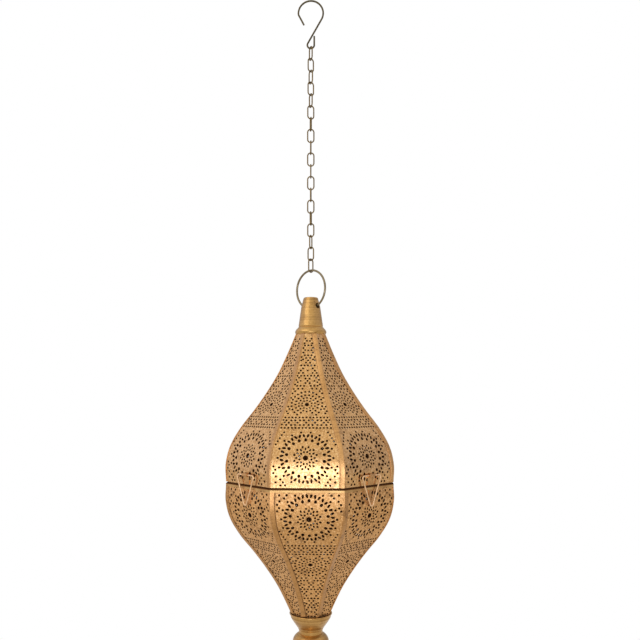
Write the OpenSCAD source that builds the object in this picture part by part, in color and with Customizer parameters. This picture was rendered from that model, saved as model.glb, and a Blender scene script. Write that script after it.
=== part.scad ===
// Hanging eight-sided lantern: S-hook, link chain, bail ring, turned cap, two pierced shells
// held together by four wire clasps, and a turned foot that carries a candle pan.
// The origin is the point the S-hook hangs from. Every height below the bail is measured from
// the seam between the two shells, which lies at z = seam_z.

/* [Shells] */
// Width of the lantern body across its corners
shell_d = 200; // [170:1:240]
// Height of the upper shell, from the seam to the cap
upper_h = 167; // [145:1:200]
// Height of the lower shell, from the seam to its end inside the foot cup
lower_h = 158; // [135:1:190]
// Thickness of the pierced sheet
sheet_t = 0.8; // [0.6:0.1:1.2]
// Open gap between the two rims
seam_gap = 1.8; // [1.2:0.1:3]
// Width of each flat corner rib, on each of the two faces it covers
rib_w = 2.2; // [1.5:0.1:3.5]
// Thickness of the corner ribs
rib_t = 0.9; // [0.5:0.1:1.4]
// Height of the stiffening band inside each rim
band_h = 8; // [6:0.5:11]
// Thickness of the bands inside the rims and the neck
band_t = 1.2; // [0.8:0.1:2]
// Height that the lower lip stands up into the upper rim
lip_h = 5; // [3:0.5:7]
// Gap between the lip and the band around it
lip_gap = 0.6; // [0.4:0.1:1]

/* [Rosette] */
// Height of the pierced rosette's centre from the seam, along the face
rosette_z = 32; // [30:0.5:36]
// Diameter of the rosette's centre hole
rosette_hole_d = 5.3; // [3:0.1:7]
// Diameter of the circle of large piercings
rosette_ring_d = 40.4; // [34:0.1:44]
// Diameter of the large piercings
rosette_dot_d = 2.6; // [1.6:0.1:3.4]

/* [Clasps] */
// Width of the triangular clasp loop, over the wire's centre line
clasp_w = 30; // [22:0.5:33]
// Length of the clasp loop, from its hinge bar to its point
clasp_l = 32.3; // [28:0.1:36]
// Height of the clasp's hinge bar above the seam
clasp_z = 11.5; // [10:0.5:13]
// Diameter of the clasp wire
clasp_wire_d = 1.7; // [1.2:0.1:1.8]
// Distance of the hinge bar from the face
clasp_out = 2.6; // [2.4:0.1:3.2]
// Width of the tab that carries the hinge bar
tab_w = 8; // [7:0.5:13]
// Thickness of the tab
tab_t = 0.7; // [0.5:0.1:1]
// Radial play of the hinge bar in its tab
bar_play = 0.08; // [0.05:0.01:0.1]
// Width of the catch that the clasp's point hooks under
catch_w = 3.6; // [3:0.1:5]

/* [Hook and chain] */
// Diameter of the hook wire
hook_wire_d = 2; // [1.6:0.1:2.6]
// Radius of the hook's large loop, to the wire's centre line
hook_big_r = 14.4; // [11:0.1:17]
// Radius of the hook's small loop, to the wire's centre line
hook_small_r = 4; // [3.5:0.1:5.5]
// Radius of the bend where the large loop runs out into its straight tail
hook_bend_r = 5; // [3:0.5:8]
// Length of the hook's straight tail
hook_tail_l = 12; // [8:0.5:16]
// Distance from the hanging point to the inside of the small loop
hook_drop = 53.2; // [46:0.1:64]
// Number of links in the chain
link_count = 19; // [19:1:19]
// Diameter of the link wire
link_wire_d = 1.5; // [1.2:0.1:1.8]
// Inside length of a link
link_in_l = 13.8; // [12:0.05:16]
// Inside width of a link
link_in_w = 5.75; // [5:0.05:7]
// Turn of the chain's first link from square to the hook
chain_turn = 36; // [0:1:45]
// Gap left where two hanging pieces bear on each other
play = 0.1; // [0.05:0.01:0.15]

/* [Bail ring and cap] */
// Diameter of the bail ring's wire
ring_wire_d = 2.4; // [2:0.1:2.8]
// Diameter of the bail ring over the wire
ring_d = 46.4; // [44:0.1:54]
// Turn of the bail ring and the cap's holes from the hook's plane
bail_turn = 40; // [0:1:45]
// Diameter of the two holes in the cap that the ring passes through
cap_hole_d = 6.4; // [6.2:0.1:6.8]
// Height of the cap, from the shell to its top
cap_h = 43; // [41:0.5:48]
// Radius of the cap's flange
flange_r = 18.2; // [17.5:0.1:20]
// Radius of the cap's cone at its foot
cone_r = 14.2; // [13.5:0.1:16]
// Radius of the cap's cone at the ring's holes
hole_level_r = 10.9; // [10:0.1:11.4]
// Thickness of the cap's wall
cap_t = 1.6; // [1.2:0.1:2]

/* [Foot] */
// Radius of the foot cup's rim
cup_r = 24.8; // [24:0.1:27]
// Height of the foot cup
cup_h = 21.5; // [18:0.5:28]
// Radius of the cup's neck
cup_neck_r = 13.5; // [11:0.1:16]
// Thickness of the cup's wall
cup_t = 0.8; // [0.6:0.1:1]
// Radius of the bead under the cup
bead_r = 21.2; // [18:0.1:24]
// Radius of the bead's rounding
bead_round_r = 11.6; // [9:0.1:13]
// Length of the drop-shaped tip under the bead
tip_l = 26; // [20:0.5:34]
// Largest radius of the tip
tip_r = 10; // [8:0.1:12]

/* [Candle] */
// Diameter of the rod through the foot
rod_d = 5; // [4:0.1:6]
// Depth of the candle pan below the seam
pan_z = 122; // [118:0.5:124]
// Radius of the candle pan
pan_r = 31; // [27:0.5:32]
// Inside diameter of the candle cup
candle_d = 40; // [38:0.5:44]
// Inside height of the candle cup
candle_h = 11; // [8:0.5:14]

/* [Hidden] */
link_names = [for (i = [1:19]) str("chain_link_", i < 10 ? "0" : "", i)];
$fn = 96;

gold = "#be965a";
dark_gold = "#6e5f3c";
pale_gold = "#d8b878";

faces = 8;
half = 180 / faces;
// Corner radius of the body at each profile station, as a share of half its width. The
// stations are evenly spaced from the seam to past the end of each shell.
PROFILE = [0.998, 1.003, 0.953, 0.834, 0.673, 0.527, 0.40, 0.299, 0.209, 0.125, 0.05];
upper_stations = 8.35;
lower_stations = 7.9;
upper_step = upper_h / upper_stations;
lower_step = lower_h / lower_stations;
parts_per_station = 3;
rim = seam_gap / 2;
hem_h = 3;
hem_t = 0.6;
bend_gap = 0.05;
seat_gap = 0.02;

// Chain of heights from the hanging point down.
hook_end_z = -hook_drop - hook_wire_d / 2;
first_link_z = hook_end_z + hook_wire_d / 2 + link_wire_d / 2 + play;
link_pitch = link_in_l - play;
last_link_end_z = first_link_z - link_in_l - link_wire_d - (link_count - 1) * link_pitch;
ring_top_z = last_link_end_z + link_wire_d / 2 + ring_wire_d / 2 + play;
ring_r = (ring_d - ring_wire_d) / 2;
ring_z = ring_top_z - ring_r;
// Where the ring's wire crosses the middle of the cap's wall: the bail's hinge line.
wall_mid_r = hole_level_r - cap_t / 2;
bail_axis_z = ring_z - sqrt(ring_r * ring_r - wall_mid_r * wall_mid_r);
hole_drop = 0.25;
hole_h = 33;
seam_z = bail_axis_z - hole_drop - hole_h - upper_h;
// How far each link has turned back from the chain's first turn, and on to the ring's turn.
TOP_TURN = [0.78, 1, 0.95, 0.9, 0.78, 0.56, 0.33, 0.19, 0.14, 0.08, 0.04, 0, 0, 0, 0, 0, 0, 0, 0];
END_TURN = [0, 0, 0, 0, 0, 0, 0, 0, 0, 0, 0, 0, 0.05, 0.11, 0.2, 0.3, 0.45, 0.68, 1];
function link_turn(i) = (i % 2) * 90 + chain_turn * TOP_TURN[i - 1] - bail_turn * END_TURN[i - 1];

function cubic(a, b, c, d, t) = ((2 * b) + (c - a) * t + (2 * a - 5 * b + 4 * c - d) * t * t
  + (3 * b - a - 3 * c + d) * t * t * t) / 2;
function station_r(s) = let (u = abs(s), i = min(floor(u), 8), t = u - i)
  shell_d / 2 * cubic(PROFILE[i == 0 ? 1 : i - 1], PROFILE[i], PROFILE[i + 1], PROFILE[i + 2], t);
// Distance of a face from the axis, outside the sheet, at s stations from the seam.
function face_r(s) = station_r(s) * cos(half);
function slope(s, step) = (face_r(s + 0.02) - face_r(s - 0.02)) / (0.04 * step);
// A point of the profile, moved in through the sheet by d, or out when d is negative.
function profile_point(s, step, d) = let (m = slope(s, step), n = sqrt(1 + m * m))
  [face_r(s) - d / n, s * step + d * m / n];
function upper_face_r(z) = face_r(z / upper_step);
function lower_face_r(z) = face_r(z / lower_step);
// Distance from the axis of the inside of a face's sheet, at the same height.
function inside_r(z, step) = face_r(z / step) - sheet_t * sqrt(1 + pow(slope(z / step, step), 2))
  - seat_gap;

// ---- Shell building blocks ----

// What lies between the depths d1 and d2 of one face, cut to the given solid.
module layer(step, d1, d2) {
  stations = [for (i = [-2:27]) i / parts_per_station];
  outer = [for (s = stations) profile_point(s, step, d1)];
  inner = [for (i = [len(stations) - 1:-1:0]) profile_point(stations[i], step, d2)];
  intersection() {
    rotate([90, 0, 0]) linear_extrude(height = shell_d, center = true)
      polygon(concat(outer, inner));
    children();
  }
}

// The same, from z1 to z2, over the given plan outline.
module sheet(step, d1, d2, z1, z2) {
  layer(step, d1, d2) translate([0, 0, z1]) linear_extrude(height = z2 - z1) children();
}

// Plan of one face: the eighth of the body between two corners.
module face_plan() {
  polygon([[0, 0], [shell_d, shell_d * tan(half)], [shell_d, -shell_d * tan(half)]]);
}

// Plan of half a rib: a strip along the corner of one face, a hair short of the corner.
module rib_plan() {
  hair = 0.02;
  polygon([[rib_w, rib_w * tan(half) - rib_w], [shell_d, shell_d * tan(half) - rib_w],
    [shell_d, shell_d * tan(half) - hair], [rib_w, rib_w * tan(half) - hair]]);
}

module corner_rib(step, z1, z2) {
  for (side = [0, 1]) rotate([0, 0, side * 360 / faces - 90]) mirror([0, side, 0])
    sheet(step, -rib_t, 0, z1, z2) rib_plan();
}

module octagon_prism(r, h) {
  rotate([0, 0, half]) cylinder(r = r / cos(half), h = h, $fn = faces);
}

// Eight-sided ring whose flats lie between r1 and r2 from the axis, from z1 to z2.
module octagon_ring(r1, r2, z1, z2) {
  translate([0, 0, z1]) difference() {
    octagon_prism(r2, z2 - z1);
    translate([0, 0, -1]) octagon_prism(r1, z2 - z1 + 2);
  }
}

// Holes of the main rosette, square to the face at the rosette's centre.
module rosette_cut(step) {
  s = rosette_z / step;
  p = profile_point(s, step, 0);
  translate([p[0], 0, p[1]]) rotate([0, 90 + atan(slope(s, step)), 0]) {
    cylinder(d = rosette_hole_d, h = 16, center = true);
    for (a = [0:20:359]) rotate([0, 0, a]) translate([rosette_ring_d / 2, 0, 0])
      cylinder(d = rosette_dot_d, h = 16, center = true);
  }
}

module panel(k, step, h, start) {
  rotate([0, 0, (k - 1) * 360 / faces - 90]) difference() {
    sheet(step, 0, sheet_t, start, h) face_plan();
    rosette_cut(step);
  }
}

module at_seam() { translate([0, 0, seam_z]) children(); }
module below_seam() { at_seam() mirror([0, 0, 1]) children(); }

// ---- Hook, chain and bail ring ----

// Arc of round wire in the XZ plane, centred at the origin, from angle a1 to a2.
module wire_arc(r, d, a1, a2) {
  rotate([90, 0, 0]) rotate([0, 0, a1])
    rotate_extrude(angle = a2 - a1) translate([r, 0]) circle(d = d, $fn = 32);
}

// Straight round wire in the XZ plane between two points, short of each by the bend gap.
module wire_run(from, to, d) {
  step = to - from;
  run = norm(step);
  translate([from[0], 0, from[1]]) rotate([0, 90 - atan2(step[1], step[0]), 0])
    translate([0, 0, bend_gap]) cylinder(d = d, h = run - 2 * bend_gap, $fn = 32);
}

// Arc of round wire, short of both ends by the bend gap.
module wire_bend(r, d, a1, a2) {
  trim = bend_gap / r * 180 / PI;
  wire_arc(r, d, a1 + trim, a2 - trim);
}

// Ball that joins two stretches of wire running at the angle a, a hair over the wire's size.
module wire_joint(at, d, a) {
  translate([at[0], 0, at[1]]) rotate([90, 0, 0]) rotate([0, 0, a + 90])
    sphere(d = d + 0.08, $fn = 48);
}

function on_circle(r, a) = [r * cos(a), r * sin(a)];

module hook_wire() {
  big = [0, hook_wire_d / 2 - hook_big_r];
  small = [0, hook_end_z + hook_small_r];
  lean = asin((hook_big_r + hook_small_r) / (big[1] - small[1]));
  start = big + on_circle(hook_big_r, -lean);
  end = small + on_circle(hook_small_r, 180 - lean);
  tail = [hook_small_r, small[1] + 0.18 * hook_drop];
  // The large loop's left side turns in a tighter bend to a straight tail.
  out_a = 208;
  out = big - [hook_big_r - hook_bend_r, 0];
  out_start = out + on_circle(hook_bend_r, out_a);
  out_end = out_start + on_circle(hook_tail_l, out_a + 90);
  translate([0, 0, big[1]]) wire_bend(hook_big_r, hook_wire_d, -lean, 180);
  translate([out[0], 0, out[1]]) wire_bend(hook_bend_r, hook_wire_d, 180, out_a);
  wire_run(out_start, out_end, hook_wire_d);
  wire_joint(big - [hook_big_r, 0], hook_wire_d, 90);
  for (p = [out_start, out_end]) wire_joint(p, hook_wire_d, out_a + 90);
  wire_run(start, end, hook_wire_d);
  translate([0, 0, small[1]]) wire_bend(hook_small_r, hook_wire_d, 180 - lean, 360);
  wire_run([hook_small_r, small[1]], tail, hook_wire_d);
  for (p = [start, end]) wire_joint(p, hook_wire_d, 90 - lean);
  for (p = [[hook_small_r, small[1]], tail]) wire_joint(p, hook_wire_d, 90);
}

module s_hook() { color(dark_gold) hook_wire(); }

module link_shape() {
  r = (link_in_w + link_wire_d) / 2;
  straight = link_in_l - link_in_w;
  translate([0, 0, -link_wire_d / 2 - link_in_w / 2 + link_wire_d / 2]) {
    translate([0, 0, -link_wire_d / 2]) {
      wire_arc(r, link_wire_d, 0, 180);
      translate([0, 0, -straight]) wire_arc(r, link_wire_d, 180, 360);
      for (side = [-1, 1]) translate([side * r, 0, -straight])
        cylinder(d = link_wire_d, h = straight, $fn = 32);
    }
  }
}

// Link number i. Each lies about square to the next, and the last one square to the ring.
module chain_link(i) {
  color(dark_gold) translate([0, 0, first_link_z - (i - 1) * link_pitch])
    rotate([0, 0, link_turn(i)]) link_shape();
}

module bail_ring() {
  color(dark_gold) translate([0, 0, ring_z]) rotate([0, 0, -bail_turn]) rotate([90, 0, 0])
    rotate_extrude() translate([ring_r, 0]) circle(d = ring_wire_d, $fn = 32);
}

// ---- Upper body ----

module cap() {
  top_r = 0.76 * hole_level_r;
  foot_r = flange_r - 1.2;
  // Outer line from the shell up, then the inner line back down.
  outer = [[foot_r, 0], [flange_r - 0.4, 1.4], [flange_r, 3], [flange_r - 0.4, 4.5],
    [flange_r - 1.4, 6], [flange_r - 2.7, 7.3], [cone_r + 0.7, 8.2], [cone_r - 0.4, 9.1],
    [cone_r, 10.1], [hole_level_r, hole_h], [hole_level_r - 1, hole_h + 3.4],
    [top_r + 0.3, cap_h - 1.4], [top_r, cap_h - 0.5], [top_r - 0.6, cap_h],
    [0, cap_h + 0.5]];
  inner = [[0, cap_h - cap_t], [top_r - cap_t, cap_h - cap_t],
    [hole_level_r - cap_t, hole_h], [cone_r - cap_t, 10.1], [cone_r - cap_t, 0]];
  color(gold) at_seam() translate([0, 0, upper_h]) difference() {
    rotate_extrude() polygon(concat(outer, inner));
    translate([0, 0, hole_h]) rotate([0, 90, -bail_turn])
      cylinder(d = cap_hole_d, h = 3 * flange_r, center = true);
  }
}

// Eight-sided collar inside the neck: a short tube under a plate that the cap stands on.
module neck_collar() {
  collar_h = 9;
  plate_t = 1.5;
  r = inside_r(upper_h, upper_step);
  color(gold) at_seam() translate([0, 0, upper_h - collar_h]) difference() {
    octagon_prism(r, collar_h);
    translate([0, 0, -1]) octagon_prism(r - band_t, collar_h - plate_t + 1);
    cylinder(r = 0.5 * flange_r, h = collar_h + 1);
  }
}

module upper_panel(k) { color(gold) at_seam() panel(k, upper_step, upper_h, rim); }

module upper_ribs() {
  color(pale_gold) at_seam()
    for (k = [0:faces - 1]) rotate([0, 0, k * 360 / faces])
      corner_rib(upper_step, rim, upper_h);
}

// Distance of the flats of the upper band's inside from the axis.
upper_band_r = inside_r(rim, upper_step) - band_t;

module upper_rim() {
  color(dark_gold) at_seam()
    octagon_ring(upper_band_r, upper_band_r + band_t, rim, rim + band_h);
}

// Centre of the clasp's hinge bar, as distance from the axis.
bar_r = max(upper_face_r(clasp_z), lower_face_r(clasp_l - clasp_z)) + clasp_out;
knuckle_r = clasp_wire_d / 2 + bar_play + 0.9;

module clasp_seat(k) { rotate([0, 0, 90 * k - 45]) children(); }

module clasp_tabs() {
  color(pale_gold) at_seam() for (k = [0:3]) clasp_seat(k) difference() {
    union() {
      sheet(upper_step, -tab_t, 0, rim + 0.3, clasp_z + knuckle_r)
        translate([bar_r - 20, -tab_w / 2]) square([30, tab_w]);
      translate([bar_r, 0, clasp_z]) rotate([90, 0, 0])
        cylinder(r = knuckle_r, h = tab_w, center = true, $fn = 48);
      translate([bar_r - clasp_out, -tab_w / 2, clasp_z - 0.6])
        cube([clasp_out - 0.9, tab_w, 1.2]);
    }
    translate([bar_r, 0, clasp_z]) rotate([90, 0, 0])
      cylinder(r = clasp_wire_d / 2 + bar_play, h = tab_w + 2, center = true, $fn = 48);
  }
}

// Closed loop of wire in the YZ plane with rounded corners: straight runs and arcs.
function corner_data(p, v, n, r) = let (a = (p - v) / norm(p - v), b = (n - v) / norm(n - v),
    alpha = acos(a * b) / 2, mid = (a + b) / norm(a + b))
  [v + mid * r / sin(alpha), v + a * r / tan(alpha), v + b * r / tan(alpha), 180 - 2 * alpha];

module wire_loop(points, radii, d) {
  n = len(points);
  corners = [for (i = [0:n - 1])
    corner_data(points[(i + n - 1) % n], points[i], points[(i + 1) % n], radii[i])];
  rotate([0, 0, 90]) for (i = [0:n - 1]) {
    c = corners[i];
    from = c[1] - c[0];
    a1 = atan2(from[1], from[0]);
    translate([c[0][0], 0, c[0][1]]) wire_bend(radii[i], d, a1, a1 + c[3]);
    wire_run(c[2], corners[(i + 1) % n][1], d);
    wire_joint(c[1], d, a1 + 90);
    wire_joint(c[2], d, a1 + c[3] + 90);
  }
}

// The clasp's legs lean in to its rounded point, whose wire lies clasp_l below the bar.
point_r = 2.4;
leg_lean = atan(clasp_w / 2 / (clasp_l - point_r))
  - asin(point_r / norm([clasp_w / 2, clasp_l - point_r]));

module clasp_loop(k) {
  color(pale_gold) at_seam() clasp_seat(k - 1) translate([bar_r, 0, clasp_z])
    wire_loop([[clasp_w / 2, 0], [-clasp_w / 2, 0], [0, -clasp_w / 2 / tan(leg_lean)]],
      [2.4, 2.4, point_r], clasp_wire_d);
}

// ---- Lower body ----

module lower_panel(k) { color(gold) below_seam() panel(k, lower_step, lower_h, rim); }

module lower_ribs() {
  color(pale_gold) below_seam()
    for (k = [0:faces - 1]) rotate([0, 0, k * 360 / faces])
      corner_rib(lower_step, rim + hem_h, lower_h - 4.5);
}

// Folded rim: a hem outside, and inside a band with the lip that locates the two shells.
module lower_rim() {
  lip_r = upper_band_r - lip_gap;
  hem_r = lower_face_r(rim + hem_h) + seat_gap;
  band_r = inside_r(rim, lower_step);
  color(pale_gold) below_seam() {
    octagon_ring(hem_r, hem_r + hem_t, rim, rim + hem_h);
    difference() {
      union() {
        translate([0, 0, rim]) octagon_prism(band_r, band_h / 2);
        translate([0, 0, -lip_h]) octagon_prism(lip_r, lip_h + rim + 1);
      }
      translate([0, 0, -lip_h - 1]) octagon_prism(lip_r - band_t, lip_h + rim + band_h);
    }
  }
}

// Catches on the lower shell: a peg inside the clasp's point, under a plate at the rim.
module latch_catches() {
  reach = clasp_out - clasp_wire_d / 2 - 0.3;
  peg_z = clasp_l - clasp_z - point_r;
  peg_r = point_r - clasp_wire_d / 2 - 0.6;
  face = bar_r - clasp_out;
  color(pale_gold) below_seam() for (k = [0:3]) clasp_seat(k) {
    sheet(lower_step, -tab_t, 0, rim + hem_h, peg_z - 4)
      translate([face - 20, -catch_w / 2]) square([30, catch_w]);
    layer(lower_step, -reach, 0)
      translate([face - 10, 0, peg_z]) rotate([0, 90, 0]) cylinder(r = peg_r, h = 20, $fn = 32);
  }
}

cup_top = lower_h - 2.2;
cup_floor = cup_top + cup_h;
sleeve_r = rod_d / 2 + 2;

module foot_cup() {
  lip_round_r = 0.8;
  rim_r = cup_r - lip_round_r;
  // Down the outside from the rim, then back up the inside.
  outer = [[rim_r, 0], [0.935 * cup_r, 4.3], [0.83 * cup_r, 8.6], [0.715 * cup_r, 12.7],
    [0.62 * cup_r, 16], [0.565 * cup_r, 19], [cup_neck_r, cup_h + 1.4]];
  inner = [[0, cup_h + 1.4], [0, cup_h - cup_t], [sleeve_r + 0.5, cup_h - cup_t],
    [0.49 * cup_r, cup_h - 1.9], [0.62 * cup_r - 1.4 * cup_t, 15.6],
    [0.715 * cup_r - 1.4 * cup_t, 12.2], [0.83 * cup_r - 1.4 * cup_t, 8.1],
    [0.935 * cup_r - cup_t, 4.1], [rim_r - cup_t, 0]];
  color(gold) below_seam() translate([0, 0, cup_top]) difference() {
    union() {
      rotate_extrude() polygon(concat(outer, inner));
      rotate_extrude() translate([rim_r, 0]) circle(r = lip_round_r, $fn = 24);
    }
    cylinder(d = rod_d + 0.2, h = 2 * cup_h);
  }
}

bead_z = cup_floor + 1.4;
bead_half = sqrt(pow(bead_round_r, 2) - pow(cup_neck_r - bead_r + bead_round_r, 2));

// Round bead, flat at both ends, with its side rounded to the radius r.
module bead_form(r, height) {
  x0 = bead_r - bead_round_r;
  arc = [for (a = [-90:7.5:90]) [x0 + r * cos(a), r * sin(a)]];
  intersection() {
    rotate_extrude() polygon(concat([[0, -r]], arc, [[0, r]]));
    cylinder(r = 2 * bead_r, h = height, center = true);
  }
}

module foot_bead() {
  color(gold) below_seam() translate([0, 0, bead_z + bead_half]) difference() {
    bead_form(bead_round_r, 2 * bead_half);
    bead_form(bead_round_r - 1.2, 2 * bead_half - 2.4);
    cylinder(d = rod_d + 0.2, h = 4 * bead_r, center = true);
  }
}

tip_z = bead_z + 2 * bead_half;

module foot_tip() {
  // Down the outside of the tip: collar, neck, ball and point.
  line = [[0, 0], [0.8 * tip_r, 0], [0.9 * tip_r, 1.2], [0.8 * tip_r, 2.4], [0.45 * tip_r, 3.4],
    [0.45 * tip_r, 5], [0.75 * tip_r, 7], [0.93 * tip_r, 9.4], [tip_r, 12], [0.93 * tip_r, 14.8],
    [0.75 * tip_r, 17.4], [0.45 * tip_r, 20], [0.25 * tip_r, tip_l - 3], [1.6, tip_l],
    [0, tip_l + 0.6]];
  color(gold) below_seam() translate([0, 0, tip_z]) difference() {
    rotate_extrude() polygon(line);
    translate([0, 0, -1]) cylinder(d = rod_d + 0.1, h = 13);
  }
}

disc_t = 3;

module base_disc() {
  color(dark_gold) below_seam() translate([0, 0, lower_h - disc_t]) difference() {
    octagon_prism(inside_r(lower_h, lower_step), disc_t);
    translate([0, 0, -1]) cylinder(d = rod_d + 0.2, h = disc_t + 2);
  }
}

module spacer_sleeve() {
  color(dark_gold) below_seam() translate([0, 0, lower_h]) difference() {
    cylinder(r = sleeve_r, h = cup_floor - cup_t - lower_h);
    translate([0, 0, -1]) cylinder(d = rod_d + 0.2, h = cup_h + 2);
  }
}

module tie_rod() {
  flange_t = 2;
  color(dark_gold) below_seam() {
    translate([0, 0, pan_z]) cylinder(r = 9, h = flange_t);
    translate([0, 0, pan_z]) cylinder(d = rod_d, h = tip_z + 12 - pan_z);
  }
}

module rod_nut() {
  nut_h = 4;
  color(dark_gold) below_seam() translate([0, 0, lower_h - disc_t - nut_h]) difference() {
    cylinder(r = 0.95 * rod_d, h = nut_h, $fn = 6);
    translate([0, 0, -1]) cylinder(d = rod_d + 0.1, h = nut_h + 2);
  }
}

pan_t = 1;

module candle_pan() {
  pan_line = [[0, 0], [0, pan_t], [pan_r - 2, pan_t], [pan_r, -3], [pan_r + 1, -3],
    [pan_r + 1 - 0.2, -4], [pan_r - 0.8, -4], [pan_r - 2.6, 0]];
  color(gold) below_seam() translate([0, 0, pan_z - pan_t]) rotate_extrude() polygon(pan_line);
}

module candle_cup() {
  color(gold) at_seam() translate([0, 0, -pan_z + pan_t]) difference() {
    cylinder(r = candle_d / 2 + 0.8, h = candle_h + 0.8);
    translate([0, 0, 0.8]) cylinder(d = candle_d, h = candle_h + 1);
  }
}

s_hook();
for (i = [1:19]) chain_link(i);
bail_ring();
cap();
neck_collar();
for (k = [1:8]) upper_panel(k);
upper_ribs();
upper_rim();
clasp_tabs();
for (k = [1:4]) clasp_loop(k);
for (k = [1:8]) lower_panel(k);
lower_ribs();
lower_rim();
latch_catches();
foot_cup();
foot_bead();
foot_tip();
base_disc();
spacer_sleeve();
tie_rod();
rod_nut();
candle_pan();
candle_cup();
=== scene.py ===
"""Looks of the hanging lantern: pierced faces, folded corner strips, brass finishes, light, camera.

Sizes are in mm until a piece is made, and in metres from there on. Each face is drawn flat, as
distances u across and v along the sheet from the middle of the seam, and is then bent on to the
shell's profile."""

import math

import bpy
import numpy as np
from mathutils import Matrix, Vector
from mathutils.geometry import delaunay_2d_cdt


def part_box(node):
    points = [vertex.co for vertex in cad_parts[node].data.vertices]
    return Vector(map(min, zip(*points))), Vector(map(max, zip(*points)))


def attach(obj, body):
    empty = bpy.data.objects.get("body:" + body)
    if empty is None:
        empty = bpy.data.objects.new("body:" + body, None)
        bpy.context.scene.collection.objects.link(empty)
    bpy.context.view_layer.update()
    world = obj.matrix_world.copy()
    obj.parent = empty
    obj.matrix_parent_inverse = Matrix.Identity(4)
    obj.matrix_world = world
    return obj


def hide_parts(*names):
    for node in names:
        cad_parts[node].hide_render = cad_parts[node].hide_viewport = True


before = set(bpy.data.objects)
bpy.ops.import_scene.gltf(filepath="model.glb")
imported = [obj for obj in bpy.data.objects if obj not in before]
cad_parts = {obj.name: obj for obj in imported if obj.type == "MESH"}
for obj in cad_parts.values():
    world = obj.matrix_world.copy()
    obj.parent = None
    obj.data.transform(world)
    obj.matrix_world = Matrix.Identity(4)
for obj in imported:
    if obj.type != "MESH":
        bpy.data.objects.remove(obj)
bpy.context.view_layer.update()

# ---------------------------------------------------------------- measures, in mm

MM = 0.001
FACES = 8
LINKS = 19
CLASPS = 4
HALF = math.radians(180 / FACES)
# Share of the corner radius at each STEP of height above or below the seam, as in the solids.
PROFILE = [0.998, 1.003, 0.953, 0.834, 0.673, 0.527, 0.40, 0.299, 0.209, 0.125, 0.05]
CORNER_R = 100.0
STEP = 20.0
SHEET_T = 0.7
# A face ends this far short of the corner line.
CORNER_GAP = 0.06

# The punched holes narrow towards the inside by this share of their size.
HOLE_TAPER = 0.68
# Size of every punched hole against the size of its punch in the pattern below.
HOLE_SIZE = 1.27
# Each face carries a folded strip along one of its corners, so its pattern sits off the middle.
STRIP_W = 4.6
OFF_MIDDLE = -1.9
# Plain metal beside the pattern, at the bare corner and beside the strip.
BARE_MARGIN = 1.2
STRIP_MARGIN = 0.3
# Plain metal at the seam's end of a face and at its other end.
SEAM_MARGIN = 0.8
END_MARGIN = 1.2
# Least metal between two holes.
HOLE_GAP = 0.22
# How far the holes stray, and by how much their sizes differ, as hand punching leaves them.
STRAY = 0.08
SIZE_SPREAD = 0.05

# The faces begin and end where those of the solids do.
RIM = 0.9
low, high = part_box("upper_panel_1")
SEAM = low.z / MM - RIM
UPPER_H = high.z / MM - SEAM
LOWER_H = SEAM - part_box("lower_panel_1")[0].z / MM


def corner_r(z):
    """Distance of a corner of the shell from the axis, at the height z above or below the seam:
    a smooth curve through the profile's points."""
    s = abs(np.asarray(z, float)) / STEP
    i = np.minimum(np.floor(s).astype(int), len(PROFILE) - 3)
    t = s - i
    p = np.array([PROFILE[1]] + PROFILE)
    a, b, c, d = p[i], p[i + 1], p[i + 2], p[i + 3]
    share = (2 * b + (c - a) * t + (2 * a - 5 * b + 4 * c - d) * t * t
             + (3 * b - a - 3 * c + d) * t * t * t) / 2
    return CORNER_R * share


def face_r(z):
    """Distance of the middle of a face from the axis."""
    return corner_r(z) * math.cos(HALF)


def slope(z):
    """Change of the face's radius with height."""
    d = 0.05
    z = np.asarray(z, float)
    return (face_r(z + d) - face_r(z - d)) / (2 * d)


# Heights in steps of 0.05 mm, and the distance along the face at each of them.
Z_TABLE = np.linspace(0, 172, 3441)
V_TABLE = np.concatenate([[0], np.cumsum(
    np.hypot(np.diff(Z_TABLE), np.diff(face_r(Z_TABLE))))])


def v_of(z):
    return float(np.interp(z, Z_TABLE, V_TABLE))


def z_of(v):
    return np.interp(v, V_TABLE, Z_TABLE)


def half_width(v):
    """Half the width of a face at the distance v along it from the seam."""
    return face_r(z_of(v)) * math.tan(HALF)


# ---------------------------------------------------------------- mesh helpers

def new_piece(name, verts, faces, body, materials, face_mats=None, normals=None, sharp=None):
    """A mesh piece from points in mm. normals, where given, are one for each corner of each face.
    Otherwise sharp is the angle in degrees from which an edge shows as one."""
    mesh = bpy.data.meshes.new(name)
    mesh.from_pydata([tuple(p) for p in np.asarray(verts) * MM], [], [list(f) for f in faces])
    for m in materials:
        mesh.materials.append(m)
    if face_mats is not None:
        mesh.polygons.foreach_set("material_index", face_mats)
    mesh.polygons.foreach_set("use_smooth", [True] * len(mesh.polygons))
    mesh.update()
    if normals is not None:
        mesh.normals_split_custom_set([tuple(n) for n in normals])
    else:
        mesh.set_sharp_from_angle(angle=math.radians(sharp))
    obj = bpy.data.objects.new(name, mesh)
    bpy.context.scene.collection.objects.link(obj)
    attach(obj, body)
    return obj


# ---------------------------------------------------------------- perforation pattern

# Middle of the main rosette along the sheet, and height of the small one above the seam.
ROSETTE_V = 32.0
SMALL_ROSETTE_Z = 86.6
# Heights of the rows of dots that cross the face, and the pitch of their dots.
ROW_PITCH = 3.75
ROW_Z = (62.2, 72.9, 95.7, 107.0, 118.3, 130.0, 141.7, 153.2)
# Scattered dots in the two corners at the rim and beside the main rosette, as u and v.
RIM_DOTS = ((25.7, 3.5), (21.0, 3.5), (23.2, 6.7), (30.8, 6.7), (25.8, 9.8), (30.5, 12.9),
            (33.1, 16.4), (31.0, 19.8), (33.0, 23.2), (34.0, 26.8))
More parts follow.
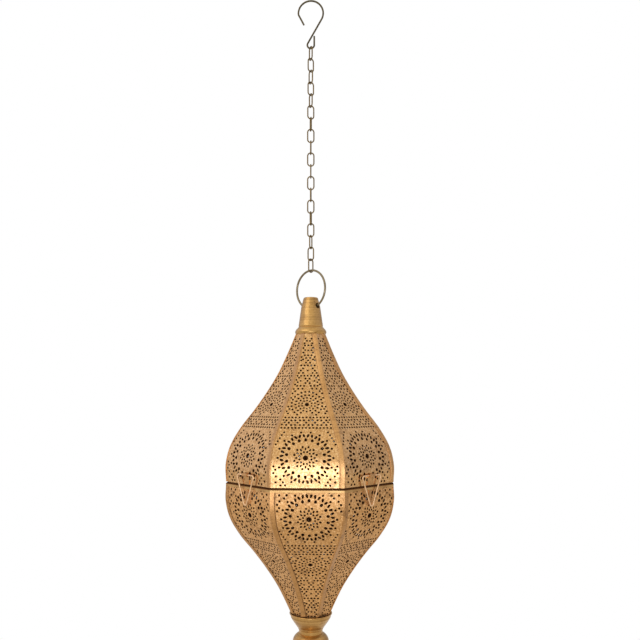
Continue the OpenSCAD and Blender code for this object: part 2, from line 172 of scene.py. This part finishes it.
# Dots over each shoulder of the main rosette.
SHOULDER_DOTS = ((31.2, 46.5), (29.3, 50.2), (27.3, 53.8), (25.4, 57.4), (23.0, 60.6))
# Places across the face of the stars between the two lowest rows, and of those farther up.
LOW_STAR_U = (-18.6, -9.3, 0.0, 9.3, 18.6)
STAR_U = 7.7
# The zigzag of dots along both sides: its pitch, and the two distances of its dots inwards.
ZIGZAG_PITCH = 2.9
ZIGZAG_IN = (1.3, 3.5)


def oval(cx, cy, a, b, angle, n, taper=0.0):
    """Closed outline of one hole: a along its own axis, b across it, narrower ahead by taper."""
    out = []
    for i in range(n):
        t = 2 * math.pi * (i + 0.5) / n
        x = a * math.cos(t)
        y = b * math.sin(t) * (1 - taper * math.cos(t))
        out.append((cx + x * math.cos(angle) - y * math.sin(angle),
                    cy + x * math.sin(angle) + y * math.cos(angle)))
    return out


class Pattern:
    """The holes of one face between v0 and v1. u is measured from the pattern's own middle line.
    turn, in degrees, turns its rosettes."""

    def __init__(self, v0, v1, seed, turn):
        self.v0, self.v1, self.turn = v0, v1, turn
        self.holes = []
        self.rng = np.random.RandomState(seed)

    def edges(self, v):
        """Where the plain metal begins on the left and on the right, at v."""
        half = float(half_width(v))
        return -half + BARE_MARGIN - OFF_MIDDLE, half - STRIP_W - STRIP_MARGIN - OFF_MIDDLE

    def add(self, u, v, a, b=None, angle=0.0, n=10, taper=0.0, free=False):
        """One oval hole, left out where it runs into plain metal or, unless free, another hole."""
        b = a if b is None else b
        k = 1 + self.rng.uniform(-SIZE_SPREAD, SIZE_SPREAD)
        u += self.rng.uniform(-STRAY, STRAY)
        v += self.rng.uniform(-STRAY, STRAY)
        a, b = a * k * HOLE_SIZE, b * k * HOLE_SIZE
        r = max(a, b)
        if v - r < self.v0 + SEAM_MARGIN or v + r > self.v1 - END_MARGIN:
            return
        left, right = self.edges(v)
        if u - r < left or u + r > right:
            return
        if not free:
            for h in self.holes:
                if math.hypot(u + OFF_MIDDLE - h[0], v - h[1]) < r + h[2] + HOLE_GAP:
                    return
        u += OFF_MIDDLE
        self.holes.append((u, v, r, oval(u, v, a, b, angle, n, taper)))

    def both(self, u, v, *args, **kw):
        """The same hole on both sides of the middle line."""
        self.add(u, v, *args, **kw)
        if u != 0:
            self.add(-u, v, *args, **kw)

    def ring(self, cv, r, count, a, b=None, start=0.0, skip=None, lean=0.0, free=True, **kw):
        """Holes round a circle. lean turns them by pairs, so that their outer ends meet."""
        for i in range(count):
            t = start + self.turn + 360.0 * i / count
            if skip is not None and skip(t % 360):
                continue
            turn = math.radians(90 - t + (lean if i % 2 else -lean))
            t = math.radians(t)
            self.add(r * math.sin(t), cv + r * math.cos(t), a, b, turn, free=free, **kw)

    def star(self, u, v, du=2.3, dv=2.9, r=0.95):
        """Four dots round a fifth."""
        self.add(u, v, r)
        for sx in (-1, 1):
            for sy in (-1, 1):
                self.add(u + sx * du, v + sy * dv, r)

    def row(self, v, without_middle=False):
        """Dots across the whole face."""
        for i in range(1 if without_middle else 0, 10):
            self.both(ROW_PITCH * i, v, 0.95)


def main_rosette(p, cv):
    """The large rosette: a middle hole and six rings, the widest left open towards the seam."""
    p.ring(cv, 0, 1, 2.15, n=28)
    p.ring(cv, 6.4, 12, 0.95, 0.88, start=15)
    p.ring(cv, 9.6, 12, 1.25, 0.76, taper=0.2)
    p.ring(cv, 12.0, 12, 1.05, 0.92, start=15)
    p.ring(cv, 20.0, 18, 1.5, 1.28, n=14, taper=0.18)
    p.ring(cv, 24.7, 36, 1.76, 1.0, start=5, n=12, taper=-0.15, lean=17)
    p.ring(cv, 28.9, 18, 1.08, 0.98, start=10, skip=lambda t: 165 < t < 195)


def upper_rosette(p, cv):
    """The small rosette: a middle hole and four rings, the outer two left open towards the seam."""
    p.ring(cv, 0, 1, 1.85, n=20)
    p.ring(cv, 5.4, 10, 0.82, n=8)
    p.ring(cv, 8.8, 14, 0.9, n=8, free=False)
    p.ring(cv, 12.3, 18, 1.06, 0.9, start=10, free=False, skip=lambda t: 160 < t < 200)
    p.ring(cv, 16.6, 24, 1.0, start=7.5, free=False, skip=lambda t: 150 < t < 210)


def side_border(p, v_from, v_to):
    """A zigzag of dots beside the plain metal on both sides."""
    for i in range(int((v_to - v_from) / ZIGZAG_PITCH)):
        v = v_from + ZIGZAG_PITCH * i
        left, right = p.edges(v)
        inner = ZIGZAG_IN[i % 2]
        p.add(left + inner, v, 0.92)
        p.add(right - inner, v, 0.92)


def pattern(v0, v1, seed, turn):
    """All holes of one face, each as u, v, its reach and its outline."""
    p = Pattern(v0, v1, seed, turn)
    main_rosette(p, ROSETTE_V)
    for u, v in RIM_DOTS:
        p.both(u, v, 1.0)
    for u, v in SHOULDER_DOTS:
        p.both(u, v, 0.9)
    upper_rosette(p, v_of(SMALL_ROSETTE_Z))
    # Rows of dots across the face, with stars between them, up to the neck. Where two stars stand
    # beside the middle a lone dot takes the middle, and the other way round.
    rows = [v_of(z) for z in ROW_Z]
    for i, v in enumerate(rows):
        p.row(v, without_middle=i == 3)
    for i, (below, above) in enumerate(zip(rows, rows[1:])):
        v = (below + above) / 2
        if i == 0:
            for u in LOW_STAR_U:
                p.star(u, v, du=2.6, dv=3.0, r=1.0)
        elif i > 1:
            sides = i % 2 == 0
            for u in (-STAR_U, STAR_U) if sides else (0.0,):
                p.star(u, v)
            p.both(0.0 if sides else STAR_U, v, 0.84)
    side_border(p, rows[0] - 1.5, v1 - 2.5)
    return p.holes


# Spacing of the outline's points on a face's sides, and of the points between its holes.
SIDE_STEP = 2.4
GRID_U = 3.4
GRID_V = 2.9


def flat_panel(v0, v1, seed, side, turn):
    """A flat face with its holes: its points (u, v), where they lie on the inside, and triangles.
    side is 1, or -1 for the pattern mirrored across u. turn is the rosettes', in degrees."""
    holes = [(side * u, v, r, [(side * x, y) for x, y in line])
             for u, v, r, line in pattern(v0, v1, seed, turn)]
    pts, edges = [], []
    vs = np.linspace(v0, v1, int((v1 - v0) / SIDE_STEP) + 1)
    right = [(half_width(v) - CORNER_GAP, v) for v in vs]
    left = [(-u, v) for u, v in right[::-1]]
    top = [(u, v1) for u in np.linspace(right[-1][0], left[0][0], 6)[1:-1]]
    bottom = [(u, v0) for u in np.linspace(left[-1][0], right[0][0], 20)[1:-1]]
    outline = right + top + left + bottom
    pts += outline
    n = len(outline)
    edges += [(i, (i + 1) % n) for i in range(n)]
    for h in holes:
        start, m = len(pts), len(h[3])
        pts += h[3]
        edges += [(start + i, start + (i + 1) % m) for i in range(m)]
    # Points between the holes, so that the sheet bends smoothly.
    hc = np.array([(h[0], h[1]) for h in holes])
    hr = np.array([h[2] for h in holes])
    for j, v in enumerate(np.arange(v0 + 1.7, v1 - 1.2, GRID_V)):
        w = half_width(v) - 0.9
        count = max(3, int(2 * w / GRID_U))
        for u in np.linspace(-w, w, count) + (0.6 if j % 2 else -0.6):
            if abs(u) > w:
                continue
            if np.all(np.hypot(hc[:, 0] - u, hc[:, 1] - v) > hr + 0.5):
                pts.append((float(u), float(v)))
    out = delaunay_2d_cdt([Vector(p) for p in pts], edges, [], 1, 1e-5)
    xy = np.array([tuple(p) for p in out[0]])
    inner = xy.copy()
    # A triangle whose three points lie on the rim of one hole fills that hole.
    of_hole = [-1] * n
    for i, h in enumerate(holes):
        of_hole += [i] * len(h[3])
    of_hole += [-1] * (len(pts) - len(of_hole))
    owner = [of_hole[ids[0]] if ids else -1 for ids in out[3]]
    for i, h in enumerate(owner):
        if h >= 0:
            inner[i] += (hc[h] - xy[i]) * HOLE_TAPER
    tris = []
    for f in out[2]:
        if owner[f[0]] >= 0 and owner[f[0]] == owner[f[1]] == owner[f[2]]:
            continue
        a, b, c = xy[f[0]], xy[f[1]], xy[f[2]]
        area = (b[0] - a[0]) * (c[1] - a[1]) - (b[1] - a[1]) * (c[0] - a[0])
        if abs(area) > 1e-9:
            tris.append(tuple(f) if area > 0 else (f[0], f[2], f[1]))
    return xy, inner, np.array(tris)


def bent_panel(xy, inner_xy, tris, up):
    """The flat panel bent on to the first face's profile and given its thickness.
    up is 1 for the upper shell and -1 for the lower. The face's normal points along -Y."""
    def bend(points, depth):
        """Places on the bent face, depth under its outside, and the outward normals there."""
        u, v = points[:, 0], points[:, 1]
        z = z_of(v)
        m = slope(z)
        length = np.sqrt(1 + m * m)
        out_n, up_n = 1 / length, -m / length
        r = face_r(z)
        # The side edges draw in with depth, so that neighbouring faces do not cross.
        edge = np.abs(np.abs(u) - (half_width(v) - CORNER_GAP)) < 0.02
        u = np.where(edge, u * (r - depth * out_n) / r, u)
        place = np.stack([u, -(r - depth * out_n), up * (z - depth * up_n)], 1)
        return place, np.stack([np.zeros_like(u), -out_n, up * up_n], 1)

    outer, normal = bend(xy, 0.0)
    inner, _ = bend(inner_xy, SHEET_T)
    n = len(xy)
    front = tris if up > 0 else tris[:, ::-1]
    back = front[:, ::-1] + n
    # Edges used once are the rims of the holes and the outline.
    count = {}
    for a, b, c in front:
        for e in ((a, b), (b, c), (c, a)):
            key = (min(e), max(e))
            count[key] = None if key in count else e
    walls = [e for e in count.values() if e is not None]
    wall = [(b, a, a + n, b + n) for a, b in walls]
    verts = np.concatenate([outer, inner])
    faces = [tuple(f) for f in front] + [tuple(f) for f in back] + wall
    loops = [normal[i] for f in front for i in f]
    loops += [-normal[i - n] for f in back for i in f]
    for f in wall:
        a, b, d = verts[f[0]], verts[f[1]], verts[f[3]]
        w = np.cross(b - a, d - a)
        w /= max(1e-12, np.linalg.norm(w))
        loops += [w] * 4
    mats = [0] * len(front) + [1] * len(back) + [2] * len(wall)
    return verts, faces, np.array(loops), mats


def turned(points, angle):
    """The points turned about the axis."""
    c, s = math.cos(angle), math.sin(angle)
    p = np.array(points, float)
    out = p.copy()
    out[:, 0] = c * p[:, 0] - s * p[:, 1]
    out[:, 1] = s * p[:, 0] + c * p[:, 1]
    return out


# ---------------------------------------------------------------- materials

def srgb(r, g, b):
    """A colour as seen, 0 to 255, in the linear values that shaders take."""
    out = []
    for c in (r, g, b):
        c /= 255
        out.append(c / 12.92 if c <= 0.04045 else ((c + 0.055) / 1.055) ** 2.4)
    return (*out, 1.0)


def smooth_step(tree, value, low, high, to_low=0.0, to_high=1.0):
    """Runs smoothly from to_low, at low, to to_high, at high."""
    n = tree.nodes.new("ShaderNodeMapRange")
    n.interpolation_type = "SMOOTHSTEP"
    tree.links.new(value, n.inputs[0])
    for i, v in zip((1, 2, 3, 4), (low, high, to_low, to_high)):
        n.inputs[i].default_value = v
    return n.outputs[0]


class Nodes:
    """Short hand for building a material's node tree."""

    def __init__(self, name):
        self.mat = bpy.data.materials.new(name)
        self.mat.use_nodes = True
        self.tree = self.mat.node_tree
        self.tree.nodes.clear()
        self.out = self.add("ShaderNodeOutputMaterial")
        self.bsdf = self.add("ShaderNodeBsdfPrincipled")
        self.link(self.bsdf.outputs[0], self.out.inputs[0])
        self.coord = self.add("ShaderNodeTexCoord").outputs["Object"]

    def add(self, kind, **props):
        n = self.tree.nodes.new(kind)
        for k, v in props.items():
            setattr(n, k, v)
        return n

    def link(self, a, b):
        self.tree.links.new(a, b)

    def plug(self, value, socket):
        if isinstance(value, bpy.types.NodeSocket):
            self.link(value, socket)
        else:
            socket.default_value = value

    def math(self, op, a, b=0.0):
        n = self.add("ShaderNodeMath", operation=op)
        for v, s in zip((a, b), n.inputs):
            self.plug(v, s)
        return n.outputs[0]

    def noise(self, scale, detail=4.0, rough=0.55, vector=None, distortion=0.0):
        """Cloudy values about 0.5; scale is in clouds a metre."""
        n = self.add("ShaderNodeTexNoise")
        self.link(vector or self.coord, n.inputs["Vector"])
        n.inputs["Scale"].default_value = scale
        n.inputs["Detail"].default_value = detail
        n.inputs["Roughness"].default_value = rough
        n.inputs["Distortion"].default_value = distortion
        return n.outputs["Fac"]

    def stretched(self, x, y, z):
        n = self.add("ShaderNodeMapping")
        self.link(self.coord, n.inputs["Vector"])
        n.inputs["Scale"].default_value = (x, y, z)
        return n.outputs[0]

    def ramp(self, fac, low, first, high, second):
        """The first colour at low, running to the second at high."""
        n = self.add("ShaderNodeValToRGB")
        for e, pos, colour in zip(n.color_ramp.elements, (low, high), (first, second)):
            e.position, e.color = pos, colour
        self.link(fac, n.inputs[0])
        return n.outputs[0]

    def step(self, value, low, high, to_low=0.0, to_high=1.0):
        return smooth_step(self.tree, value, low, high, to_low, to_high)

    def mix(self, fac, a, b):
        n = self.add("ShaderNodeMix", data_type="RGBA")
        self.plug(fac, n.inputs[0])
        self.plug(a, n.inputs[6])
        self.plug(b, n.inputs[7])
        return n.outputs[2]

    def bump(self, height, strength, distance, before=None):
        n = self.add("ShaderNodeBump")
        n.inputs["Strength"].default_value = strength
        n.inputs["Distance"].default_value = distance
        self.link(height, n.inputs["Height"])
        if before is not None:
            self.link(before, n.inputs["Normal"])
        return n.outputs[0]

    def corner_distance(self, side):
        """Distance in metres of a point of a shell's face from the corner line on one side."""
        sep = self.add("ShaderNodeSeparateXYZ")
        self.link(self.coord, sep.inputs[0])
        x, y = sep.outputs[0], sep.outputs[1]
        angle = self.math("ARCTAN2", y, x)
        radius = self.math("SQRT", self.math("ADD", self.math("MULTIPLY", x, x),
                                             self.math("MULTIPLY", y, y)))
        turn = self.math("ADD", angle, math.pi * 4 + HALF)
        part = self.math("SUBTRACT", self.math("MODULO", turn, 2 * HALF), HALF)
        across = self.math("MULTIPLY", radius, self.math("MULTIPLY", self.math("SINE", part), side))
        out = self.math("MULTIPLY", radius, self.math("COSINE", part))
        return self.math("SUBTRACT", self.math("MULTIPLY", out, math.tan(HALF)), across)

    def finish(self, colour, rough, normal, metallic, coat=0.0, specular=0.5):
        b = self.bsdf.inputs
        self.plug(colour, b["Base Color"])
        self.plug(rough, b["Roughness"])
        self.plug(metallic, b["Metallic"])
        b["Specular IOR Level"].default_value = specular
        b["Coat Weight"].default_value = coat
        b["Coat Roughness"].default_value = 0.2
        self.link(normal, b["Normal"])
        return self.mat


def brass(name, light, mid, dark, rough, metallic, patina, scale=1.0, coat=0.1,
          glint=None, sparkle=0.85, grit=0.0, strip_shade_side=0, bump=0.25, turned_lines=False,
          specular=0.5):
    """Satin brass: mottled colour, patina in patches, light and dark grains, uneven gloss.
    glint is the colour of the light grains, part grain and part painted glint, and sparkle and grit
    say how strong the light and the dark ones are. strip_shade_side is the side of each face where a
    dark line of painted shade, with some dirt, lies along the corner strip."""
    n = Nodes(name)
    cloud = n.noise(38 * scale, 5, 0.6, distortion=0.3)
    fine = n.noise(420 * scale, 3, 0.6)
    colour = n.ramp(cloud, 0.28, mid, 0.62, light)
    spots = n.math("MULTIPLY", n.step(n.noise(95 * scale, 6, 0.65), 0.52, 0.72), patina)
    colour = n.mix(spots, colour, dark)
    speck = n.math("MULTIPLY", n.step(fine, 0.54, 0.7), 0.45 * patina + 0.05)
    colour = n.mix(speck, colour, dark)
    # The light grains are part grain and part painted glint, the sparkle of light on the sheet.
    sand = n.noise(620 * scale, 3, 0.7)
    colour = n.mix(n.step(sand, 0.5, 0.64, 0.0, sparkle), colour, glint or light)
    colour = n.mix(n.step(sand, 0.34, 0.46, grit, 0.0), colour, dark)
    roughness = n.math("ADD", n.math("MULTIPLY", n.noise(60 * scale, 4), 0.16), rough - 0.08)
    # Painted shade, with some dirt: a dark line on the face beside the corner strip's edge, stronger
    # on the lower faces.
    if strip_shade_side:
        strip_shade_line = n.step(n.corner_distance(strip_shade_side), (STRIP_W + 0.3) * MM, (STRIP_W + 1.2) * MM,
                      to_low=1.0, to_high=0.0)
        colour = n.mix(n.math("MULTIPLY", strip_shade_line, 0.35 if strip_shade_side > 0 else 0.85), colour, dark)
        roughness = n.math("ADD", roughness, n.math("MULTIPLY", strip_shade_line, 0.2))
    height = n.math("ADD", n.math("MULTIPLY", fine, 0.5), n.math("MULTIPLY", cloud, 0.8))
    normal = n.bump(height, bump, 0.0002)
    if turned_lines:
        rings = n.noise(1.0, 3, 0.6, vector=n.stretched(4, 4, 1600))
        normal = n.bump(rings, 0.14, 0.0002, before=normal)
        bands = n.noise(1.0, 2, 0.6, vector=n.stretched(3, 3, 420))
        colour = n.mix(n.step(bands, 0.5, 0.62, 0.0, 0.28), colour, dark)
        colour = n.mix(n.step(bands, 0.36, 0.46, 0.25, 0.0), colour, glint or light)
    return n.finish(colour, roughness, normal, metallic, coat, specular=specular)


golds = {1: brass("upper_pierced_gold", srgb(213, 164, 102), srgb(193, 144, 84),
                  srgb(112, 74, 44), 0.28, metallic=0.88, patina=0.6, strip_shade_side=1, bump=0.45,
                  glint=srgb(240, 198, 142), grit=0.5),
         -1: brass("lower_pierced_gold", srgb(220, 167, 101), srgb(198, 146, 83),
                   srgb(108, 70, 38), 0.55, metallic=0.88, patina=0.6, strip_shade_side=-1, bump=0.45,
                   glint=srgb(244, 198, 138), grit=0.5)}
# The inside of the sheet is painted dark brown and matt: painted shade inside the shell, seen
# through the holes.
inside = brass("inside_painted_shade", srgb(98, 68, 38), srgb(80, 54, 30), srgb(52, 34, 18), 0.9,
               metallic=0.0, patina=0.7, coat=0.0, specular=0.1)
# The walls of the punched holes are painted dark brown and matt: painted shade inside the holes.
hole_wall_shade = brass("cut_edge_painted_shade", srgb(58, 32, 12), srgb(44, 24, 9), srgb(28, 15, 6), 0.9,
            metallic=0.0, patina=0.5, coat=0.0, specular=0.05)
rib_golds = {1: brass("upper_rib_gold", srgb(202, 153, 94), srgb(180, 132, 76),
                      srgb(108, 70, 40), 0.32, metallic=0.88, patina=0.6, bump=0.3, grit=0.4),
             -1: brass("lower_rib_gold", srgb(198, 147, 88), srgb(176, 128, 72),
                       srgb(104, 68, 36), 0.38, metallic=0.88, patina=0.6, bump=0.3, grit=0.4)}
turned_gold = brass("turned_gold", srgb(196, 152, 86), srgb(172, 128, 68), srgb(104, 66, 34), 0.3,
                    metallic=0.92, patina=0.35, turned_lines=True, bump=0.06,
                    glint=srgb(226, 182, 114), sparkle=0.3)
clasp_gold = brass("clasp_gold", srgb(242, 200, 150), srgb(224, 178, 126), srgb(150, 108, 66), 0.34,
                   metallic=0.75, patina=0.3, scale=3.0, bump=0.15)
aged = brass("aged_wire", srgb(96, 84, 56), srgb(74, 64, 42), srgb(38, 32, 20), 0.4,
             metallic=0.9, patina=0.85, scale=4.0, bump=0.3)
link_gold = brass("link_wire", srgb(128, 106, 64), srgb(98, 80, 48), srgb(46, 36, 20), 0.36,
                  metallic=0.9, patina=0.85, scale=4.0, bump=0.3)
ring_gold = brass("ring_wire", srgb(144, 128, 96), srgb(114, 100, 72), srgb(64, 54, 36), 0.34,
                  metallic=0.9, patina=0.6, scale=3.0, bump=0.25)
dull = brass("inner_brass", srgb(150, 112, 62), srgb(122, 88, 48), srgb(64, 44, 24), 0.48,
             metallic=0.8, patina=0.6, bump=0.3)


def rim_finish():
    """Light hem strip under the seam; the lip and bands behind it, in the seam's gap, are painted
    dark and matt as painted shade.
    """
    n = Nodes("rim_strip_and_seam_shade")
    sep = n.add("ShaderNodeSeparateXYZ")
    n.link(n.coord, sep.inputs[0])
    # Painted shade: dark brown and matt above the hem's upper edge, in the seam's gap.
    seam_shade = n.step(sep.outputs[2], (SEAM - RIM - 0.8) * MM, (SEAM - RIM - 0.6) * MM)
    cloud = n.noise(70, 4, 0.6)
    light = n.ramp(cloud, 0.3, srgb(176, 132, 78), 0.65, srgb(206, 166, 104))
    colour = n.mix(seam_shade, light, srgb(120, 74, 34))
    rough = n.math("ADD", n.math("MULTIPLY", seam_shade, 0.5), 0.4)
    metallic = n.math("SUBTRACT", 0.8, n.math("MULTIPLY", seam_shade, 0.8))
    return n.finish(colour, rough, n.bump(n.noise(420, 3), 0.2, 0.0002), metallic, specular=0.2)


hem = rim_finish()
dark = brass("shadowed_rim", srgb(124, 80, 38), srgb(104, 64, 30), srgb(64, 38, 18), 0.9,
             metallic=0.0, patina=0.5, coat=0.0, specular=0.1)


def dress(node, material):
    """Gives a node from the solids its finish."""
    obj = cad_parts[node]
    obj.data.materials.clear()
    obj.data.materials.append(material)


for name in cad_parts:
    dress(name, dull)
for i in range(1, LINKS + 1):
    dress("chain_link_%02d" % i, link_gold)
dress("s_hook", aged)
dress("bail_ring", ring_gold)
for name in ("cap", "foot_cup", "foot_bead", "foot_tip", "candle_cup", "candle_pan"):
    dress(name, turned_gold)
for k in range(1, CLASPS + 1):
    dress("clasp_loop_%d" % k, clasp_gold)
dress("clasp_tabs", rib_golds[1])
dress("latch_catches", rib_golds[-1])
dress("lower_rim", hem)
dress("upper_rim", dark)

# ---------------------------------------------------------------- pierced panels

# Faces 8, 1, 2 and 3 are those in front and on the right. The other four have their rosettes
# turned by half the pitch of the ring of 18 holes, so that few holes line up with those in front.
for shell, up, height, seed in (("upper", 1, UPPER_H, 3), ("lower", -1, LOWER_H, 8)):
    for first, turn in ((7, 0.0), (3, 180.0 / 18)):
        flat, flat_inner, tris = flat_panel(v_of(RIM), v_of(height), seed, up, turn)
        verts, faces, loops, mats = bent_panel(flat, flat_inner, tris, up)
        for i in range(first, first + FACES // 2):
            k = i % FACES + 1
            angle = (k - 1) * 2 * HALF
            placed = turned(verts, angle) + (0, 0, SEAM)
            panel = new_piece("%s_pierced_panel_%d" % (shell, k), placed, faces, shell,
                              [golds[up], inside, hole_wall_shade], mats, turned(loops, angle))
            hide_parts("%s_panel_%d" % (shell, k))

# ---------------------------------------------------------------- corner ribs

# Sections in mm, as distance from the corner along the face and height over it.
WIDE_LINE = [(STRIP_W, -0.03), (STRIP_W, 0.36), (STRIP_W - 0.12, 0.5), (STRIP_W - 0.35, 0.56),
             (0.5, 0.58)]
NARROW_LINE = [(0.75, -0.03), (0.75, 0.3), (0.7, 0.44), (0.6, 0.54), (0.3, 0.6)]
# Height of the ridge over the corner, and depth of the underside below it.
RIDGE_H = 0.64
SUNK = 0.03
# The lower strips run from under the hem to this far above the faces' end at the foot.
HEM_H = 3.0
RIB_END = 4.5


def ribs(up, z_from, z_to, name, body, node):
    """The eight corner strips of one shell, wide on the side that its faces' patterns leave free."""
    zs = np.linspace(z_from, z_to, 72)
    verts, faces = [], []
    ring_n = len(WIDE_LINE) + len(NARROW_LINE) + 2
    for k in range(FACES):
        base = len(verts)
        phi = math.radians(-90) + HALF + k * 2 * HALF
        for z in zs:
            m = float(slope(z))
            ln = math.hypot(1, m)
            c = float(corner_r(z))
            corner = np.array([c * math.cos(phi), c * math.sin(phi), z])
            section = []
            for side in (-1, 1):
                a = phi + side * HALF
                n = np.array([math.cos(a) / ln, math.sin(a) / ln, -m / ln])
                t = np.array([-math.sin(a), math.cos(a), 0.0]) * side
                wide = side == -up
                line = [corner + t * d + n * h for d, h in (WIDE_LINE if wide else NARROW_LINE)]
                section.append(line)
            bis = np.array([math.cos(phi), math.sin(phi), -m * math.cos(HALF)])
            bis /= np.linalg.norm(bis)
            ridge = corner + bis * RIDGE_H
            under = corner - bis * SUNK
            row = section[0] + [ridge] + section[1][::-1] + [under]
            verts += [p * (1, 1, up) for p in row]
        for i in range(len(zs) - 1):
            for j in range(ring_n):
                a, b = base + i * ring_n + j, base + i * ring_n + (j + 1) % ring_n
                q = (a, b, b + ring_n, a + ring_n)
                faces.append(q if up > 0 else q[::-1])
        first = tuple(base + j for j in range(ring_n))
        last = tuple(base + (len(zs) - 1) * ring_n + j for j in range(ring_n))
        faces.append(first[::-1] if up > 0 else first)
        faces.append(last if up > 0 else last[::-1])
    obj = new_piece(name, np.array(verts) + (0, 0, SEAM), faces, body, [rib_golds[up]],
                    sharp=34)
    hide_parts(node)


ribs(1, RIM, UPPER_H, "upper_corner_ribs", "upper", "upper_ribs")
ribs(-1, RIM + HEM_H, LOWER_H - RIB_END, "lower_corner_ribs", "lower", "lower_ribs")

# ---------------------------------------------------------------- stage, light, camera

def light_path_sum(tree, *names):
    """1 for the named kinds of ray and 0 for others."""
    path = tree.nodes.new("ShaderNodeLightPath")
    total = path.outputs[names[0]]
    for name in names[1:]:
        add = tree.nodes.new("ShaderNodeMath")
        add.operation = "ADD"
        add.use_clamp = True
        tree.links.new(total, add.inputs[0])
        tree.links.new(path.outputs[name], add.inputs[1])
        total = add.outputs[0]
    return total


def mixed(tree, factor, first, second):
    """The first shader where factor is 0 and the second where it is 1."""
    mix = tree.nodes.new("ShaderNodeMixShader")
    tree.links.new(factor, mix.inputs[0])
    tree.links.new(first, mix.inputs[1])
    tree.links.new(second, mix.inputs[2])
    return mix.outputs[0]


def glow(tree, kind, colour, strength):
    """An emission or background shader."""
    node = tree.nodes.new(kind)
    node.inputs[0].default_value = (*colour, 1)
    node.inputs[1].default_value = strength
    return node.outputs[0]


FLOOR_Z = -1.3
FLOOR_HALF = 6.0


def make_floor():
    """White to the eye, a little dimmer as a reflection, and light grey as a source of light."""
    corners = [(x * FLOOR_HALF, y * FLOOR_HALF, 0) for x, y in ((-1, -1), (1, -1), (1, 1), (-1, 1))]
    mesh = bpy.data.meshes.new("floor")
    mesh.from_pydata(corners, [], [(0, 1, 2, 3)])
    floor = bpy.data.objects.new("floor", mesh)
    bpy.context.scene.collection.objects.link(floor)
    floor.location = (0, 0, FLOOR_Z)
    paper = bpy.data.materials.new("floor")
    paper.use_nodes = True
    tree = paper.node_tree
    tree.nodes.clear()
    diffuse = tree.nodes.new("ShaderNodeBsdfDiffuse")
    diffuse.inputs[0].default_value = (0.8, 0.8, 0.79, 1)
    reflected = glow(tree, "ShaderNodeEmission", (1.0, 0.97, 0.94), 0.84)
    white = glow(tree, "ShaderNodeEmission", (1, 1, 1), 1.0)
    lit = mixed(tree, light_path_sum(tree, "Is Glossy Ray"), diffuse.outputs[0], reflected)
    shown = mixed(tree, light_path_sum(tree, "Is Camera Ray", "Is Transmission Ray"), lit, white)
    tree.links.new(shown, tree.nodes.new("ShaderNodeOutputMaterial").inputs[0])
    mesh.materials.append(paper)


def make_room():
    """White to the eye. Polished faces see it dimmer to the right and behind the lantern, a little
    brighter above, and cooler to both sides."""
    world = bpy.data.worlds.new("studio")
    bpy.context.scene.world = world
    world.use_nodes = True
    tree = world.node_tree
    tree.nodes.clear()
    direction = tree.nodes.new("ShaderNodeSeparateXYZ")
    tree.links.new(tree.nodes.new("ShaderNodeTexCoord").outputs["Generated"], direction.inputs[0])
    x, y, z = direction.outputs
    upward = tree.nodes.new("ShaderNodeMath")
    upward.operation = "MULTIPLY_ADD"
    upward.inputs[1].default_value = 0.16
    tree.links.new(z, upward.inputs[0])
    tree.links.new(smooth_step(tree, x, 0.1, 1.0, 0.89, 0.61), upward.inputs[2])
    strength = tree.nodes.new("ShaderNodeMath")
    strength.operation = "MULTIPLY"
    tree.links.new(upward.outputs[0], strength.inputs[0])
    tree.links.new(smooth_step(tree, y, 0.25, 0.95, 1.0, 0.62), strength.inputs[1])
    aside = tree.nodes.new("ShaderNodeMath")
    aside.operation = "ABSOLUTE"
    tree.links.new(x, aside.inputs[0])
    tint = tree.nodes.new("ShaderNodeMix")
    tint.data_type = "RGBA"
    tree.links.new(smooth_step(tree, aside.outputs[0], 0.3, 0.95), tint.inputs[0])
    tint.inputs[6].default_value = (1.0, 0.98, 0.94, 1)
    tint.inputs[7].default_value = (1.04, 1.04, 1.22, 1)
    room = tree.nodes.new("ShaderNodeBackground")
    tree.links.new(tint.outputs[2], room.inputs[0])
    tree.links.new(strength.outputs[0], room.inputs[1])
    soft = glow(tree, "ShaderNodeBackground", (1.0, 0.99, 0.97), 0.45)
    white = glow(tree, "ShaderNodeBackground", (1, 1, 1), 1.0)
    lit = mixed(tree, light_path_sum(tree, "Is Glossy Ray"), soft, room.outputs[0])
    shown = mixed(tree, light_path_sum(tree, "Is Camera Ray", "Is Transmission Ray"), lit, white)
    tree.links.new(shown, tree.nodes.new("ShaderNodeOutputWorld").inputs[0])


def softbox(name, at, aim, width, height, power, colour=(1, 1, 1)):
    """A rectangular lamp, in metres and watts."""
    data = bpy.data.lights.new(name, "AREA")
    data.shape = "RECTANGLE"
    data.size, data.size_y = width, height
    data.energy = power
    data.color = colour
    obj = bpy.data.objects.new(name, data)
    bpy.context.scene.collection.objects.link(obj)
    obj.location = at
    direction = Vector(aim) - Vector(at)
    obj.rotation_euler = direction.to_track_quat("-Z", "Y").to_euler()
    obj.visible_camera = False


make_floor()
make_room()
seam = SEAM * MM
# The first makes the bright band on the faces beside the seam, the second the gleam on the cap.
softbox("front_strip", (0.0, -2.2, seam - 0.05), (0, 0, seam - 0.05), 0.9, 1.02, 10.5,
        (0.93, 1.0, 1.3))
softbox("key", (-1.6, -1.6, seam + 1.5), (0, 0, seam), 2.0, 2.0, 12.5)

# The viewer stands a little to the right of the front face, somewhat above the seam.
VIEW_TURN = math.radians(2.3)
VIEW_DISTANCE = 0.814
VIEW_HEIGHT = 0.095
cam_data = bpy.data.cameras.new("camera")
cam_data.sensor_width = 36.0
cam_data.lens = 39.4
cam_data.shift_x = 0.0144
cam_data.shift_y = 0.12
camera = bpy.data.objects.new("camera", cam_data)
bpy.context.scene.collection.objects.link(camera)
camera.location = (VIEW_DISTANCE * math.sin(VIEW_TURN), -VIEW_DISTANCE * math.cos(VIEW_TURN),
                   seam + VIEW_HEIGHT)
camera.rotation_euler = (math.radians(90), 0, VIEW_TURN)
bpy.context.scene.camera = camera

bpy.context.scene.view_settings.view_transform = "Standard"
